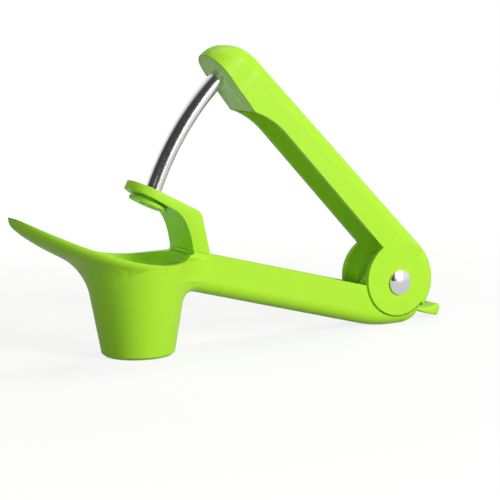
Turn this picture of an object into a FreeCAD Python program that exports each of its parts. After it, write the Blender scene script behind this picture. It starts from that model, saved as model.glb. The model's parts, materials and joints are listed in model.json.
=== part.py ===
import FreeCAD, Part
import math
import os

# Cherry pitter with a lever, in millimetres, +Z up, standing on its cup and tail.
# X runs along the tool from the tray tip to the lock tab, and Y = 0 is the mid-plane.
# The hinge axis is parallel to Y. Every outline below is drawn about the centre of the
# lever's round ears, a little above that axis, and moved at the end by HINGE_X, so that
# the origin lies under the middle of the tool.

V = FreeCAD.Vector

# Driving dimensions

EYE_Z = 20.0              # centre of the lever's round ears above the ground
HINGE_Z = 18.25           # hinge axis above the ground, a little below that centre
HALF_W = 10.0             # half the width of both handles
WALL = 2.2                # moulded wall
TINY = 0.05               # clearance of seated faces
RUN = 0.3                 # gap beside moving faces

OPEN_ANGLE = 47.0         # lever above the horizontal, as the tool springs open
CLOSE_ANGLE = 25.0        # turn of the lever down to the guide plate
HANDLE_SLOPE = 15.1       # fall of the lower handle towards the hinge

# Plunger
ROD_ARC = 120.0           # radius of the bent rod about the hinge axis
ROD_D = 6.8
ROD_TIP_ANGLE = 20.3      # rod tip above the horizontal, seen from the hinge
ROD_BEND_END = 47.0       # the bend ends here, just below the holder
ROD_END_L = 5.8           # straight end in the holder's socket
ROD_DISH = 2.6            # hollow in the tip
ROD_DISH_T = 0.9
ROD_FIT = 0.2
CROSS_PIN_D = 2.0
CROSS_PIN_L = 4.2         # along the straight end

# Lower handle, in its own frame: t along it to the tail, e up across it
HANDLE_TOP = -6.2
HANDLE_BOTTOM = -22.0
HANDLE_ROUND = 5.5
CHANNEL_ROUND = 1.0
HANDLE_FRONT = -106.0      # buried in the cup
HANDLE_MEET = -92.0       # the rim line of the cup is cut back to here, as x
CHANNEL_FRONT = -88.0     # front end of the open channel, as t
TAIL_ROLL = 60.0          # arc that lays the underside on the ground
TAIL_FLAT_END = 2.5
TAIL_HEEL = 12.0
TAIL_END = 10.6
RECESS_R = 16.5           # round recess that the lever's ears turn in

# Hinge stack across the tool, as distances from the mid-plane
EAR_IN = 7.8
EAR_R = 15.8
LUG_IN = 5.0
LUG_OUT = 7.5
LUG_R = 11.2
PIN_D = 6.0
PIN_HEAD_D = 10.4
PIN_HEAD_H = 1.9
PIN_TIP_D = 4.0
SLEEVE_D = 8.6
SLEEVE_IN = -1.3
GUSSET_IN = -4.6
GUSSET_OUT = -1.6
HUB_R = 5.8

# Cup and seat
CUP_X = -119.0            # cup axis, where the rod comes down upright
CUP_FOOT_R = 14.4
CUP_TAPER = 0.177
CUP_FOOT_BEVEL = 1.0
SEAT_HOLE_R = 7.0
SEAT_Z = 27.6
DISH_R = 21.0
SEAT_DIP = 3.0            # further fall of the scoop's floor to the seat
SEAT_FLOOR = 2.4

# Tray
TRAY_TIP = -171.0
TRAY_HALF = 21.0
TRAY_PLAN_POWER = 0.45    # how bluntly the plan closes at the tip
TRAY_EDGE = 2.6           # depth of the tip's edge
TIP_SHARE = 0.014         # the plan curve starts this far along, so the tip is blunt
TRAY_BELLY = 6.3          # depth gained from the tip to the cup
LIP = 2.1                 # wall of the scoop
RIM_LOW_X = -114.0
RIM_LOW_Z = 37.1
RIM_SWEEP = 0.0379        # rise of the rim to the tip, by the power below
RIM_POWER = 1.561
RIM_BACK = 0.008          # rise of the rim to the arm, by the square

# Lever, in its own frame: u from the hinge to the nose, v up across it
LEVER_NOSE = 130.0
NOSE_CENTRE = 120.0
LEVER_BACK_R = 18.8
LEVER_TOP_NOSE = 15.9
LEVER_ROUND = 6.5
LEVER_EDGE = 3.4
PANEL_START = 101.0
PANEL_V = -0.8
PANEL_TILT = 5.4
NOSE_START = 111.0        # the head's dome begins here
NOSE_V = 2.0
NOSE_POWER = 2.5
INNER_BEVEL = 3.0         # inner corners along the roof
HOOD_DEPTH = 28.0
NOSE_TURNS = (-5, 32, 56, 74)
EDGE_STEP = 84.0          # from here the lower edge curves down to the panel
BACK_END = 225.0          # lower end of the curved back, as a polar angle
GUSSET_V = 16.4

# Plunger holder
HOLDER_T = 2.4
SOCKET_R = 5.4
REBATE_HALF = 9.2         # the holder sits in a step of the lever's rim
PAD_HALF = 3.4
PAD_T = 0.8
RIB_HALF = 0.8

# Guide arm
PLATE_GAP = 1.3           # left under the closed holder, more than its pad needs
PLATE_TIP_T = 3.2
PLATE_T = 4.3
PLATE_BACK_U = 100.4      # top rear corner of the arm, in the closed lever's frame
ARM_INNER_U = 105.6       # inner corner between plate and post
ARM_ROUND_IN = 4.0
ARM_ROUND = 4.5
POST_FRONT = -98.6
POST_BACK = -91.0
BUSH_D = 9.8
FLANGE_D = 15.6
FLANGE_T = 1.3
FLANGE_DROP = 0.6
SCREW_X = -94.8
SCREW_D = 3.0
SCREW_HEAD_D = 5.6
SCREW_SEAT_Z = 25.6
SCREW_L = 11.0
TENON_X = -98.0           # front face of the tenon under the post
TENON_L = 6.4
TENON_HALF = 5.5
TENON_Z = 29.5

# Lock slide, in the lower handle's frame
LOCK_TOP = -10.3
LOCK_BOTTOM = -12.2
LOCK_FRONT = -3.5
LOCK_HALF = 5.2
TONGUE_T = 1.2            # in front of this only the tongue that the hook catches is left
TONGUE_Y = -0.8           # the spring's leg passes beside the tongue
LOCK_TRAVEL = 4.5
LIP_END = 29.49
LIP_MID = -9.2
LIP_CORNER = 4.0
LOCK_OUTLINE = [(LOCK_FRONT, LOCK_BOTTOM), (LOCK_FRONT, LOCK_TOP), (18.5, LOCK_TOP), (22.6, -9.5),
                (26.4, -7.4), (LIP_END, LIP_MID), (26.2, -12.2), (21.8, -12.5), (18.0, LOCK_BOTTOM)]

# Latch hook under the lever's hub, drawn closed in the lower handle's frame
HOOK_OUTLINE = [(-2.0, -5.0), (-8.4, -6.0), (-8.4, -12.45), (-5.5, -12.45), (-5.5, -15.0),
                (-11.0, -15.0), (-11.0, -1.0), (-4.0, 4.0)]

# Spring
WIRE_D = 1.4
COIL_R = 5.7
COIL_Y = 3.9              # centre of the first turn
COIL_PITCH = 1.55
COIL_TURNS = 2
LEG_DIP = 23.0            # fall of the lower leg to the channel floor
LEG_RISE = 19.6           # rise of the upper leg to the lever's roof
LEG_L = 31.0


EYE = V(0, 0, EYE_Z)
# Where the rod meets the holder, in the lever's frame
ROD_U = ROD_ARC - (EYE_Z - HINGE_Z) * math.sin(math.radians(OPEN_ANGLE))


def deg(angle):
    return math.radians(angle)


def polar(radius, angle, y=0.0):
    """Point at a radius and an angle above the horizontal, on the nose side of the ears' centre."""
    return V(-radius * math.cos(deg(angle)), y, EYE_Z + radius * math.sin(deg(angle)))


def swing(radius, angle):
    """Point at a radius and an angle above the horizontal, on the nose side of the hinge axis."""
    return V(-radius * math.cos(deg(angle)), 0, HINGE_Z + radius * math.sin(deg(angle)))


def on_handle(t, e, y=0.0):
    """Point given in the lower handle's frame."""
    c, s = math.cos(deg(HANDLE_SLOPE)), math.sin(deg(HANDLE_SLOPE))
    return V(t * c + e * s, y, EYE_Z - t * s + e * c)


def on_lever(u, v, y=0.0):
    """Point given in the lever's frame, with the lever open."""
    c, s = math.cos(deg(OPEN_ANGLE)), math.sin(deg(OPEN_ANGLE))
    return V(-u * c + v * s, y, EYE_Z + u * s + v * c)


def turned(point, angle):
    """Point turned about the hinge axis, lifting the lever for a positive angle."""
    centre = V(0, 0, HINGE_Z)
    return FreeCAD.Rotation(V(0, 1, 0), angle).multVec(point - centre) + centre


def on_closed(u, v, y=0.0):
    """Point given in the lever's frame, with the lever closed."""
    return turned(on_lever(u, v, y), -CLOSE_ANGLE)


def arc(a, middle, b):
    return Part.Arc(a, middle, b).toShape()


def line(a, b):
    return Part.makeLine(a, b)


def slab(edges, y0, y1):
    """Closed outline in the mid-plane, made solid from y0 to y1."""
    face = Part.Face(Part.Wire(Part.__sortEdges__(edges)))
    face.translate(V(0, y0, 0))
    return face.extrude(V(0, y1 - y0, 0))


def plate(points, y0, y1):
    edges = [line(a, b) for a, b in zip(points, points[1:] + points[:1])]
    return slab(edges, y0, y1)


def disc(radius, y0, y1, centre=None):
    centre = centre or V(0, 0, HINGE_Z)
    return Part.makeCylinder(radius, y1 - y0, V(centre.x, y0, centre.z), V(0, 1, 0))


def mirrored(shape):
    return shape.mirror(V(0, 0, 0), V(0, 1, 0))


def handle_outline(inset, top):
    """Side outline of the lower handle and its tail, drawn in by the inset, up to a top line."""
    bottom = HANDLE_BOTTOM + inset
    ground = inset
    half = deg(HANDLE_SLOPE) / 2
    heel = TAIL_HEEL - inset
    end_x = TAIL_END - inset
    # The sloping underside meets the ground at this corner, which a large arc rolls over.
    t_meet = (EYE_Z - ground + bottom * math.cos(2 * half)) / math.sin(2 * half)
    corner = on_handle(t_meet, bottom)
    reach = TAIL_ROLL * math.tan(half)
    roll_a = on_handle(t_meet - reach, bottom)
    roll_b = V(corner.x + reach, 0, ground)
    roll_m = roll_b - V(TAIL_ROLL * math.sin(half), 0, -TAIL_ROLL * (1 - math.cos(half)))
    flat_end = V(TAIL_FLAT_END, 0, ground)
    turn = math.asin((end_x - TAIL_FLAT_END) / heel)
    heel_m = flat_end + V(heel * math.sin(turn / 2), 0, heel * (1 - math.cos(turn / 2)))
    heel_b = flat_end + V(heel * math.sin(turn), 0, heel * (1 - math.cos(turn)))
    up = V(end_x, 0, on_handle(end_x, top).z)
    back = on_handle(HANDLE_FRONT, top)
    start = on_handle(HANDLE_FRONT, bottom)
    return [
        line(start, roll_a),
        arc(roll_a, roll_m, roll_b),
        line(roll_b, flat_end),
        arc(flat_end, heel_m, heel_b),
        line(heel_b, up),
        line(up, back),
        line(back, start),
    ]


def low_edges(solid, half_w):
    """Long edges where the underside of the handle meets its two sides."""
    found = []
    for edge in solid.Edges:
        mid = edge.valueAt((edge.FirstParameter + edge.LastParameter) / 2)
        below = mid - V(0, 0, EYE_Z)
        across = below.x * math.sin(deg(HANDLE_SLOPE)) + below.z * math.cos(deg(HANDLE_SLOPE))
        along_side = abs(abs(mid.y) - half_w) < 0.01
        upright = abs(edge.BoundBox.XLength) < 0.01
        at_front = edge.BoundBox.XMax < on_handle(HANDLE_FRONT, 0).x - 1.0
        if along_side and not upright and across < -14.0 and not at_front:
            found.append(edge)
    return found


def handle_bar():
    """Handle moulding as a solid bar with a rounded underside."""
    bar = slab(handle_outline(0.0, HANDLE_TOP), -HALF_W, HALF_W)
    return bar.makeFillet(HANDLE_ROUND, low_edges(bar, HALF_W))


def channel():
    """Hollow of the handle, open along the top and closed in front by the arm's block."""
    hollow = slab(handle_outline(WALL, HANDLE_TOP + 12.0), -LUG_OUT, LUG_OUT)
    hollow = hollow.makeFillet(CHANNEL_ROUND, low_edges(hollow, LUG_OUT))
    block = plate([on_handle(CHANNEL_FRONT - 30, 10), on_handle(CHANNEL_FRONT - 30, -30),
                   on_handle(CHANNEL_FRONT, -30), on_handle(CHANNEL_FRONT, 10)], -12, 12)
    return hollow.cut(block)


def rim_height(x):
    """Height of the rim: low round the seat, rising to the tip and a little to the arm."""
    ahead = max(0.0, RIM_LOW_X - x)
    behind = max(0.0, x - RIM_LOW_X)
    return RIM_LOW_Z + RIM_SWEEP * ahead ** RIM_POWER + RIM_BACK * behind ** 2


def scoop_section(x, across, depth, over):
    """Half ellipse under the rim line, with straight sides above it."""
    rim = V(x, 0, rim_height(x))
    side = V(0, across, 0)
    lift = V(0, 0, over)
    if across > depth:
        bow = Part.Ellipse(rim + side, rim - V(0, 0, depth), rim)
        first = 0.0
    else:
        bow = Part.Ellipse(rim - V(0, 0, depth), rim - side, rim)
        first = -math.pi / 2
    edges = [
        Part.Arc(bow, first, first + math.pi).toShape(),
        line(rim - side, rim - side + lift),
        line(rim - side + lift, rim + side + lift),
        line(rim + side + lift, rim + side),
    ]
    return Part.Wire(Part.__sortEdges__(edges))


def tray_sections(inset, over):
    """Sections from the blunt tip to the cup axis, closer together at the tip."""
    sections = []
    steps = 4
    for i in range(steps + 1):
        share = TIP_SHARE + (1 - TIP_SHARE) * (i / steps) ** 2.2
        x = TRAY_TIP + inset + (CUP_X - TRAY_TIP - inset) * (share - TIP_SHARE) / (1 - TIP_SHARE)
        swell = math.sin(share * math.pi / 2) ** TRAY_PLAN_POWER
        across = TRAY_HALF * swell - inset * min(1.0, share * 8)
        depth = TRAY_EDGE + TRAY_BELLY * share ** TRAY_PLAN_POWER - inset
        bowl = max(0.0, 1 - ((CUP_X - x) / (TRAY_HALF - LIP)) ** 2)
        if inset:
            depth += SEAT_DIP * bowl
        sections.append(scoop_section(x, across, depth, over))
    return sections


def tray_form():
    """Outside of the tray, buried in the cup behind the cup axis."""
    sections = tray_sections(0.0, 3.0)
    end = sections[-1].copy()
    end.translate(V(3, 0, rim_height(CUP_X + 3) - rim_height(CUP_X)))
    return Part.makeLoft(sections + [end], True, False)


def scoop_hollow():
    """Inside of the tray and of the seat's bowl in one sweep, closed behind the seat."""
    sections = tray_sections(LIP, 6.0)
    half = TRAY_HALF - LIP
    depth = TRAY_EDGE + TRAY_BELLY - LIP
    steps = 3
    for i in range(1, steps + 1):
        turn = math.pi / 2 * 0.97 * i / steps
        close = math.cos(turn)
        x = CUP_X + half * math.sin(turn)
        sections.append(scoop_section(x, half * close, depth * close + SEAT_DIP * close ** 2, 6.0))
    return Part.makeLoft(sections, True, False)


def sky():
    """Everything above the rim line, from the tip back to the arm."""
    steps = 8
    start_x = TRAY_TIP - 6
    xs = [start_x + (HANDLE_MEET - start_x) * i / steps for i in range(steps + 1)]
    crest = Part.BSplineCurve()
    crest.interpolate([V(x, 0, rim_height(x)) for x in xs])
    a, b = crest.StartPoint, crest.EndPoint
    top = V(0, 0, 120)
    edges = [crest.toShape(), line(b, V(b.x, 0, top.z)), line(V(b.x, 0, top.z), V(a.x, 0, top.z)),
             line(V(a.x, 0, top.z), a)]
    return slab(edges, -40, 40)


def cup_cone(inset, bottom, top):
    r0 = CUP_FOOT_R + CUP_TAPER * bottom - inset
    r1 = CUP_FOOT_R + CUP_TAPER * top - inset
    return Part.makeCone(r0, r1, top - bottom, V(CUP_X, 0, bottom))


def body_outside():
    """Tray, cup and handle as one solid form."""
    cup = cup_cone(0.0, 0.0, 44.0)
    foot = [e for e in cup.Edges if e.BoundBox.ZMax < 0.01 and e.Closed]
    cup = cup.makeChamfer(CUP_FOOT_BEVEL, foot)
    over = sky()
    front = cup.fuse(tray_form()).cut(over)
    ahead = Part.makeBox(120, 100, 160, V(POST_FRONT - 120, -50, -10))
    return front.fuse(handle_bar().cut(over.common(ahead)))


def lower_body():
    body = body_outside()
    dish_centre = V(CUP_X, 0, SEAT_Z + math.sqrt(DISH_R ** 2 - SEAT_HOLE_R ** 2))
    under = cup_cone(WALL, -1.0, 40.0).cut(Part.makeSphere(DISH_R + SEAT_FLOOR, dish_centre))
    hole = Part.makeCylinder(SEAT_HOLE_R, 40, V(CUP_X, 0, 5))
    body = body.cut([under, hole, scoop_hollow(), channel()])
    lug = plate([V(-LUG_R, 0, HINGE_Z), on_handle(-22, HANDLE_BOTTOM), V(TAIL_END, 0, -1),
                 V(LUG_R, 0, HINGE_Z)], LUG_IN, LUG_OUT)
    lug = lug.common(slab(handle_outline(0.8, 14.0), LUG_IN, LUG_OUT))
    lug = lug.fuse(disc(LUG_R, LUG_IN, LUG_OUT))
    body = body.fuse([lug, mirrored(lug)])
    # The ears turn a little off their own centre, so their recess is drawn for both ends of the turn.
    recess = disc(RECESS_R, LUG_OUT, HALF_W + 2, EYE)
    recess = recess.fuse(disc(EAR_R + RUN, LUG_OUT, HALF_W + 2, turned(EYE, -CLOSE_ANGLE)))
    passage = [on_handle(0, LOCK_BOTTOM - RUN), on_handle(24, LOCK_BOTTOM - RUN), on_handle(24, 12),
               on_handle(12, 12), on_handle(12, LOCK_TOP + RUN), on_handle(0, LOCK_TOP + RUN)]
    above = [on_handle(11, LOCK_TOP + RUN), on_handle(24, LOCK_TOP + RUN), on_handle(24, 12),
             on_handle(11, 12)]
    groove = [on_handle(-14, LOCK_BOTTOM - RUN), on_handle(24, LOCK_BOTTOM - RUN),
              on_handle(24, LOCK_TOP + RUN), on_handle(-14, LOCK_TOP + RUN)]
    half = LOCK_HALF + RUN
    wide = LUG_OUT + TINY
    pin = disc(PIN_D / 2 + TINY, -HALF_W, HALF_W)
    pocket = Part.makeBox(TENON_L + 2 * TINY, 2 * (TENON_HALF + TINY), 20,
                          V(TENON_X - TINY, -TENON_HALF - TINY, TENON_Z - TINY))
    bore = Part.makeCylinder(SCREW_D / 2 + 0.2, 60, V(SCREW_X, 0, 0))
    sink = Part.makeCylinder(SCREW_HEAD_D / 2 + 0.3, SCREW_SEAT_Z, V(SCREW_X, 0, 0))
    return body.cut([recess, mirrored(recess), plate(passage, -half, half), plate(groove, -half, half),
                     plate(above, -wide, wide), pin, pocket, bore, sink])


def panel_v(u):
    """Lower face of the plunger holder, tilted a little to the lever's axis."""
    return PANEL_V + (u - PANEL_START) * math.tan(deg(PANEL_TILT))


def hood_section(base, top, half, corner):
    """Section through the lever's hood from a base point up, rounded at its two top corners."""
    up = top - base
    up.normalize()
    side = V(0, half, 0)
    flat = V(0, half - corner, 0)
    c45 = corner * math.sqrt(0.5)
    shoulder = top - up * corner
    bulge = V(0, half - corner + c45, 0)
    crown = shoulder + up * c45
    edges = [line(base - side, base + side), line(base + side, shoulder + side),
             arc(shoulder + side, crown + bulge, top + flat), line(top + flat, top - flat),
             arc(top - flat, crown - bulge, shoulder - side), line(shoulder - side, base - side)]
    return Part.Wire(edges)


def lever_slope():
    return math.atan((LEVER_BACK_R - LEVER_TOP_NOSE) / NOSE_START)


def hood(inset):
    """Straight part and round back of the lever's hood, drawn in by the inset."""
    half = HALF_W - inset
    back_r = LEVER_BACK_R - inset
    tilt = lever_slope()
    up = V(math.sin(tilt), 0, math.cos(tilt))
    along = V(math.cos(tilt), 0, -math.sin(tilt))
    reach = NOSE_START - up.x * back_r
    near = up * back_r
    far = near + along * reach
    outline = [near, far, far - up * HOOD_DEPTH, V(0, 0, -HOOD_DEPTH / 2), V(0, 0, 0)]
    bar = plate([on_lever(q.x, q.z) for q in outline], -half, half)
    crown = (near + far) / 2
    crown = on_lever(crown.x, crown.z)
    shoulders = [e for e in bar.Edges if abs(abs(e.CenterOfMass.y) - half) < 0.01 and
                 V(e.CenterOfMass.x - crown.x, 0, e.CenterOfMass.z - crown.z).Length < 1]
    top = on_lever(near.x, near.z)
    end = polar(back_r, BACK_END)
    middle = polar(back_r, (BACK_END + OPEN_ANGLE + 90) / 2)
    back = slab([arc(top, middle, end), line(end, EYE), line(EYE, top)], -half, half)
    rims = [e for e in back.Edges if abs(abs(e.CenterOfMass.y) - half) < 0.01 and
            e.CenterOfMass.distanceToPoint(V(EYE.x, e.CenterOfMass.y, EYE.z)) > back_r * 0.8]
    if inset:
        bar = bar.makeChamfer(INNER_BEVEL, shoulders)
        back = back.makeChamfer(INNER_BEVEL, rims)
    else:
        bar = bar.makeFillet(LEVER_ROUND, shoulders)
        back = back.makeFillet(LEVER_ROUND, LEVER_BACK_R - EAR_R, rims)
    return bar.fuse(back), far, up


def lever_head():
    """Domed head of the lever, round in plan, carried on from the straight part."""
    far, up = hood(0.0)[1:]
    start_v = LEVER_TOP_NOSE
    reach = LEVER_NOSE - NOSE_START
    low = far - up * HOOD_DEPTH
    sections = [hood_section(on_lever(low.x, low.z), on_lever(far.x, far.z), HALF_W, LEVER_ROUND)]
    for turn in NOSE_TURNS:
        u = NOSE_CENTRE + HALF_W * math.sin(deg(turn))
        across = math.sqrt(HALF_W ** 2 - max(0.0, u - NOSE_CENTRE) ** 2)
        fall = 1 - ((u - NOSE_START) / reach) ** NOSE_POWER
        top = NOSE_V + (start_v - NOSE_V) * math.sqrt(fall)
        sections.append(hood_section(on_lever(u, -12.0), on_lever(u, top), across,
                                     min(LEVER_ROUND, 0.9 * across)))
    return Part.makeLoft(sections, True, False)


def lever_shell():
    """Hooded lever: roof, side walls, curved back, two round ears and the latch hook."""
    nose_u = LEVER_NOSE + 10
    panel_end = on_lever(PANEL_START, panel_v(PANEL_START))
    step_m = on_lever((PANEL_START + EDGE_STEP) / 2 + 1.0, LEVER_EDGE - 1.2)
    step_end = on_lever(EDGE_STEP, LEVER_EDGE)
    heel = on_lever(0, LEVER_EDGE)
    nose = on_lever(nose_u, panel_v(nose_u))
    below = slab([line(nose, panel_end), arc(panel_end, step_m, step_end), line(step_end, heel),
                  line(heel, on_lever(0, -40)), line(on_lever(0, -40), on_lever(nose_u, -40)),
                  line(on_lever(nose_u, -40), nose)], -20, 20)
    behind = plate([on_lever(0, 0), polar(60, BACK_END), polar(60, BACK_END - 45), on_lever(0, 60)],
                   -HALF_W, HALF_W)
    ear = disc(EAR_R, EAR_IN, HALF_W, EYE).cut(behind)
    shell = hood(0.0)[0].fuse(lever_head()).cut(below).fuse([ear, mirrored(ear)])
    head_room = plate([on_lever(NOSE_START - 9, -20), on_lever(NOSE_START - 9, 12.5),
                       on_lever(NOSE_CENTRE + 5, 7.6), on_lever(NOSE_CENTRE + 9, 3.0),
                       on_lever(NOSE_CENTRE + 9, -20)], -HALF_W, HALF_W)
    shell = shell.cut([hood(WALL)[0], head_room.common(nose_plan(EAR_IN, NOSE_START - 9))])
    low, high = PANEL_START - 2, LEVER_NOSE + 10
    rebate = plate([on_lever(low, panel_v(low) - 6), on_lever(high, panel_v(high) - 6),
                    on_lever(high, panel_v(high) + HOLDER_T + TINY),
                    on_lever(low, panel_v(low) + HOLDER_T + TINY)], -HALF_W, HALF_W)
    shell = shell.cut(rebate.common(nose_plan(REBATE_HALF + TINY, PANEL_START)))

    gusset = plate([on_lever(-5.5, 0), on_lever(-6, 15.2), on_lever(22, GUSSET_V), on_lever(22, 12),
                    on_lever(5.5, 0)], GUSSET_IN, GUSSET_OUT)
    hook = plate([turned(on_handle(t, e), CLOSE_ANGLE) for t, e in HOOK_OUTLINE], GUSSET_IN, GUSSET_OUT)
    hub = disc(HUB_R, GUSSET_IN, GUSSET_OUT)
    pin = disc(PIN_D / 2 + 0.1, -HALF_W - 1, HALF_W + 1)
    return shell.fuse([gusset, hook, hub]).cut(pin)


def nose_plan(radius, first):
    """Plan of the lever's head from a place on, as a tall solid that trims it round."""
    reach = 60
    low = on_lever(NOSE_CENTRE, -reach)
    up = on_lever(NOSE_CENTRE, reach) - low
    post = Part.makeCylinder(radius, 2 * reach, low, up)
    bar = plate([on_lever(NOSE_CENTRE, -reach), on_lever(NOSE_CENTRE, reach),
                 on_lever(first, reach), on_lever(first, -reach)], -radius, radius)
    return bar.fuse(post)


def bent_rod(radius, low, high):
    """Round bar bent about the hinge axis, between two angles above the horizontal."""
    start = swing(ROD_ARC, low)
    along = swing(ROD_ARC, low + 90) - V(0, 0, HINGE_Z)
    face = Part.Face(Part.Wire(Part.makeCircle(radius, start, along)))
    return face.revolve(V(0, 0, HINGE_Z), V(0, 1, 0), high - low)


def cross_pin(radius, half):
    bend = swing(ROD_ARC, ROD_BEND_END)
    along = swing(1.0, ROD_BEND_END + 90) - V(0, 0, HINGE_Z)
    return disc(radius, -half, half, bend + along * CROSS_PIN_L)


def socket_bar(radius, low, high):
    """Straight round bar along the rod's upper end, between two distances from its bend."""
    bend = swing(ROD_ARC, ROD_BEND_END)
    along = swing(1.0, ROD_BEND_END + 90) - V(0, 0, HINGE_Z)
    return Part.makeCylinder(radius, high - low, bend + along * low, along)


def plunger_rod():
    rod = bent_rod(ROD_D / 2, ROD_TIP_ANGLE, ROD_BEND_END).fuse(socket_bar(ROD_D / 2, 0.0, ROD_END_L))
    tip = swing(ROD_ARC, ROD_TIP_ANGLE)
    along = swing(1.0, ROD_TIP_ANGLE + 90) - V(0, 0, HINGE_Z)
    dish = Part.makeCone(ROD_DISH, 0.0, ROD_DISH_T, tip, along)
    return rod.cut([dish, cross_pin(CROSS_PIN_D / 2, HALF_W)])


def plunger_holder():
    """Insert that closes the lever's head from below and holds the rod in a socket."""
    first, last = PANEL_START - 2, LEVER_NOSE + 5
    panel = plate([on_lever(first, panel_v(first)), on_lever(last, panel_v(last)),
                   on_lever(last, panel_v(last) + HOLDER_T), on_lever(first, panel_v(first) + HOLDER_T)],
                  -HALF_W, HALF_W).common(nose_plan(REBATE_HALF, PANEL_START + TINY))
    boss = socket_bar(SOCKET_R, 0.0, ROD_END_L + 1.5)
    below = plate([on_lever(90, panel_v(90) + 0.5), on_lever(140, panel_v(140) + 0.5), on_lever(140, -30),
                   on_lever(90, -30)], -HALF_W, HALF_W)
    boss = boss.cut(below)
    pad = plate([on_lever(PANEL_START + 2, panel_v(PANEL_START + 2) - PAD_T),
                 on_lever(ROD_U, panel_v(ROD_U) - PAD_T), on_lever(ROD_U, panel_v(ROD_U) + 1),
                 on_lever(PANEL_START + 2, panel_v(PANEL_START + 2) + 1)], -PAD_HALF, PAD_HALF)
    pad = pad.makeFillet(PAD_T * 0.6, [e for e in pad.Edges if e.CenterOfMass.distanceToPoint(
        on_lever(PANEL_START + 2, panel_v(PANEL_START + 2) - PAD_T)) < 0.1])
    inner = panel_v(PANEL_START + 4) + HOLDER_T
    rib = plate([on_lever(PANEL_START + 4, inner - 1), on_lever(ROD_U - 3, panel_v(ROD_U) + 1),
                 on_lever(ROD_U - 3, 5.6)], -RIB_HALF, RIB_HALF)
    half = EAR_IN - TINY
    tab = plate([on_lever(105, panel_v(105) + 1), on_lever(111, panel_v(111) + 1),
                 on_lever(111, 7.0), on_lever(105, 7.0)], half - 1.6, half)
    body = panel.fuse([boss, pad, rib, tab, mirrored(tab)])
    return body.cut([socket_bar(ROD_D / 2, -3.0, ROD_END_L), cross_pin(CROSS_PIN_D / 2, EAR_IN)])


def rod_cross_pin():
    """Roll pin that locks the rod in the holder's socket."""
    return cross_pin(CROSS_PIN_D / 2, SOCKET_R - 0.2)


def plate_point(u, drop):
    """Point on the guide plate, as deep below the closed holder's face as given."""
    return on_closed(u, panel_v(u) - drop)


def plate_axis():
    """Where the rod passes the guide plate's top, and the way down through the plate."""
    top = plate_point(ROD_U, PLATE_GAP)
    along = plate_point(ROD_U + 1, PLATE_GAP) - top
    down = V(-along.z, 0, along.x)
    if down.z > 0:
        down = down * -1.0
    return top, down.normalize()


def guide_arm():
    """Post and radial plate in one moulding, with a tenon under the post."""
    foot_f = V(POST_FRONT, 0, handle_top_z(POST_FRONT) + 2 * TINY)
    foot_b = V(POST_BACK, 0, handle_top_z(POST_BACK) + 2 * TINY)
    tip = plate_point(LEVER_NOSE + 2, PLATE_GAP)
    tip_low = plate_point(LEVER_NOSE + 2, PLATE_GAP + PLATE_TIP_T)
    inner = plate_point(ARM_INNER_U, PLATE_GAP + PLATE_T)
    outer = plate_point(PLATE_BACK_U, PLATE_GAP)
    half = HALF_W - RUN
    arm = plate([tip, tip_low, inner, foot_f, foot_b, outer], -half, half)
    for corner, radius in ((inner, ARM_ROUND_IN), (outer, ARM_ROUND)):
        arm = arm.makeFillet(radius, [e for e in arm.Edges if e.BoundBox.YLength > half and
                                      e.CenterOfMass.distanceToPoint(corner) < 0.5])
    centre, down = plate_axis()
    rearward = V(-down.z, 0, down.x)
    start = plate_point(NOSE_CENTRE, PLATE_GAP) - down * 30
    plan = Part.makeCylinder(half, 60, start, down)
    keep = plate([start, start + rearward * 60, start + rearward * 60 + down * 90, start + down * 90],
                 -half, half)
    arm = arm.common(plan.fuse(keep))
    low = TENON_Z
    tenon = plate([V(TENON_X, 0, low), V(TENON_X + TENON_L, 0, low),
                   V(TENON_X + TENON_L, 0, handle_top_z(TENON_X + TENON_L) + 1),
                   V(TENON_X, 0, handle_top_z(TENON_X) + 1)], -TENON_HALF, TENON_HALF)
    bore = Part.makeCylinder(BUSH_D / 2, 30, centre - down * 10, down)
    pilot = Part.makeCylinder(SCREW_D / 2, SCREW_L, V(SCREW_X, 0, SCREW_SEAT_Z))
    return arm.fuse(tenon).cut([bore, pilot])


def handle_top_z(x):
    """Height of the lower handle's top line at a place along the tool."""
    slope = deg(HANDLE_SLOPE)
    return EYE_Z + HANDLE_TOP / math.cos(slope) - x * math.tan(slope)


def guide_bush():
    """Flanged sleeve in the guide plate, with the flange as a stripping ring beneath."""
    centre, down = plate_axis()
    drop = PLATE_TIP_T + 0.8 + FLANGE_DROP
    sleeve = Part.makeCylinder(BUSH_D / 2, drop + FLANGE_T - 0.3, centre + down * 0.3, down)
    flange = Part.makeCylinder(FLANGE_D / 2, FLANGE_T, centre + down * drop, down)
    middle = centre + down * (drop / 2)
    turn = math.degrees(math.atan2(middle.z - HINGE_Z, -middle.x))
    along = swing(1.0, turn + 90) - V(0, 0, HINGE_Z)
    bore = Part.makeCylinder(ROD_D / 2 + ROD_FIT, 40, swing(ROD_ARC, turn) - along * 20, along)
    return sleeve.fuse(flange).cut(bore)


def domed_head(y, outward):
    """Shallow domed rivet head, flat side on the plane at y."""
    band = 0.7
    rise = PIN_HEAD_H - band
    ball_r = ((PIN_HEAD_D / 2) ** 2 + rise ** 2) / (2 * rise)
    centre = V(0, y, HINGE_Z)
    out = V(0, outward, 0)
    puck = Part.makeCylinder(PIN_HEAD_D / 2, PIN_HEAD_H, centre, out)
    ball = Part.makeSphere(ball_r, centre + out * (PIN_HEAD_H - ball_r))
    return puck.common(ball)


def hinge_pin():
    seat = HALF_W + 0.1
    shaft = disc(PIN_D / 2, -seat, seat)
    stub = disc(PIN_TIP_D / 2, seat - 1, seat + 1.1)
    return domed_head(-seat, -1.0).fuse([shaft, stub])


def hinge_pin_cap():
    seat = HALF_W + 0.1
    return domed_head(seat, 1.0).cut(disc(PIN_TIP_D / 2, seat - 1, seat + 1.1))


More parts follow.
